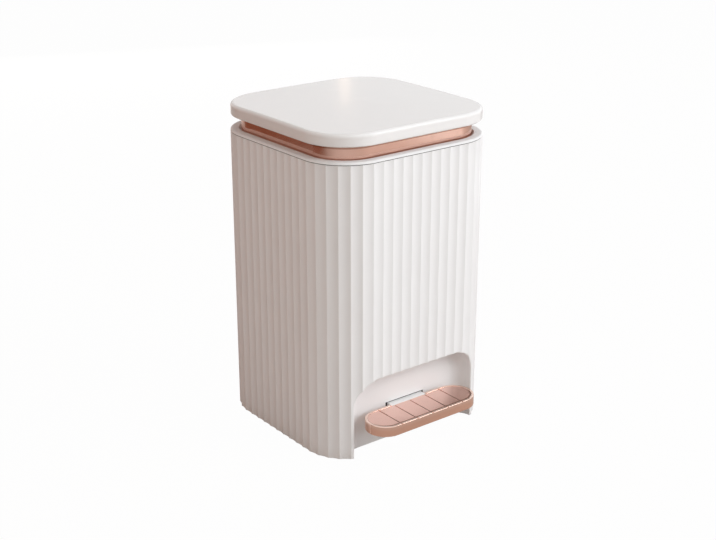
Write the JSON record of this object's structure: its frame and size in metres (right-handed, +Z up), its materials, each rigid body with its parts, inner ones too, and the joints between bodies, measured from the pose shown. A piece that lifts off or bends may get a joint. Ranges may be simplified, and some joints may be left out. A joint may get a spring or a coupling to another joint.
{
  "type": "pedal bin",
  "caption": "Square kitchen bin with rounded corners, a fluted white body, a rose-gold band and pedal, and a lid that the pedal lifts through a push rod.",
  "frame": {"origin": "on the floor, under the middle of the bin's bounding box, pedal included", "axes": "+Z up, -Y towards the user and the pedal, +X to the right as seen from the front"},
  "size_m": [0.25, 0.2784, 0.403],
  "materials": {
    "shell_white": "satin gloss",
    "lid_white": "gloss",
    "rose_gold": "rose-gold electroplate",
    "bucket_grey": "matt",
    "mechanism_white": "matt",
    "steel": "bright zinc",
    "rubber_grey": "matt"
  },
  "bodies": {
    "bin_body": {"outer_body": "shell_white", "base_plate": "shell_white", "rubber_feet": "rubber_grey", "base_screws": "steel", "top_collar": "shell_white", "collar_seal": "rubber_grey", "trim_band": "rose_gold", "inner_bucket": "bucket_grey", "hinge_housing": "shell_white", "hinge_pin": "steel", "hinge_screws": "steel", "rod_guides": "mechanism_white", "rod_cover": "shell_white", "lever_shaft": "steel", "shaft_clips": "steel"},
    "lid": {"lid_shell": "lid_white", "lid_liner": "lid_white", "lid_screws": "steel", "lid_bumpers": "rubber_grey", "lid_hinge_bracket": "shell_white", "bracket_screws": "steel", "crank_pin": "steel"},
    "pedal": {"pedal_tread": "rose_gold", "pedal_lever": "shell_white", "tread_screws": "steel", "lever_bushes": "mechanism_white", "lever_pin": "steel"},
    "rod": {"push_rod": "steel", "rod_yoke": "mechanism_white", "rod_foot": "mechanism_white"}
  },
  "joints": [
    {"name": "lid_hinge", "type": "hinge", "parent": "bin_body", "child": "lid", "pos_m": [0, 0.1322, 0.3775], "axis": [-1, 0, 0], "range_deg": [0, 78]},
    {"name": "pedal_press", "type": "hinge", "parent": "bin_body", "child": "pedal", "pos_m": [0, -0.0058, 0.018], "axis": [1, 0, 0], "range_deg": [0, 10.7]},
    {"name": "rod_lift", "type": "slide", "parent": "bin_body", "child": "rod", "axis": [0, 0, 1], "range_m": [0, 0.0227]}
  ],
  "couplings": [
    {"joint": "pedal_press", "follows": "lid_hinge", "ratio": 0.13678},
    {"joint": "rod_lift", "follows": "lid_hinge", "m_per_rad": 0.016642}
  ]
}
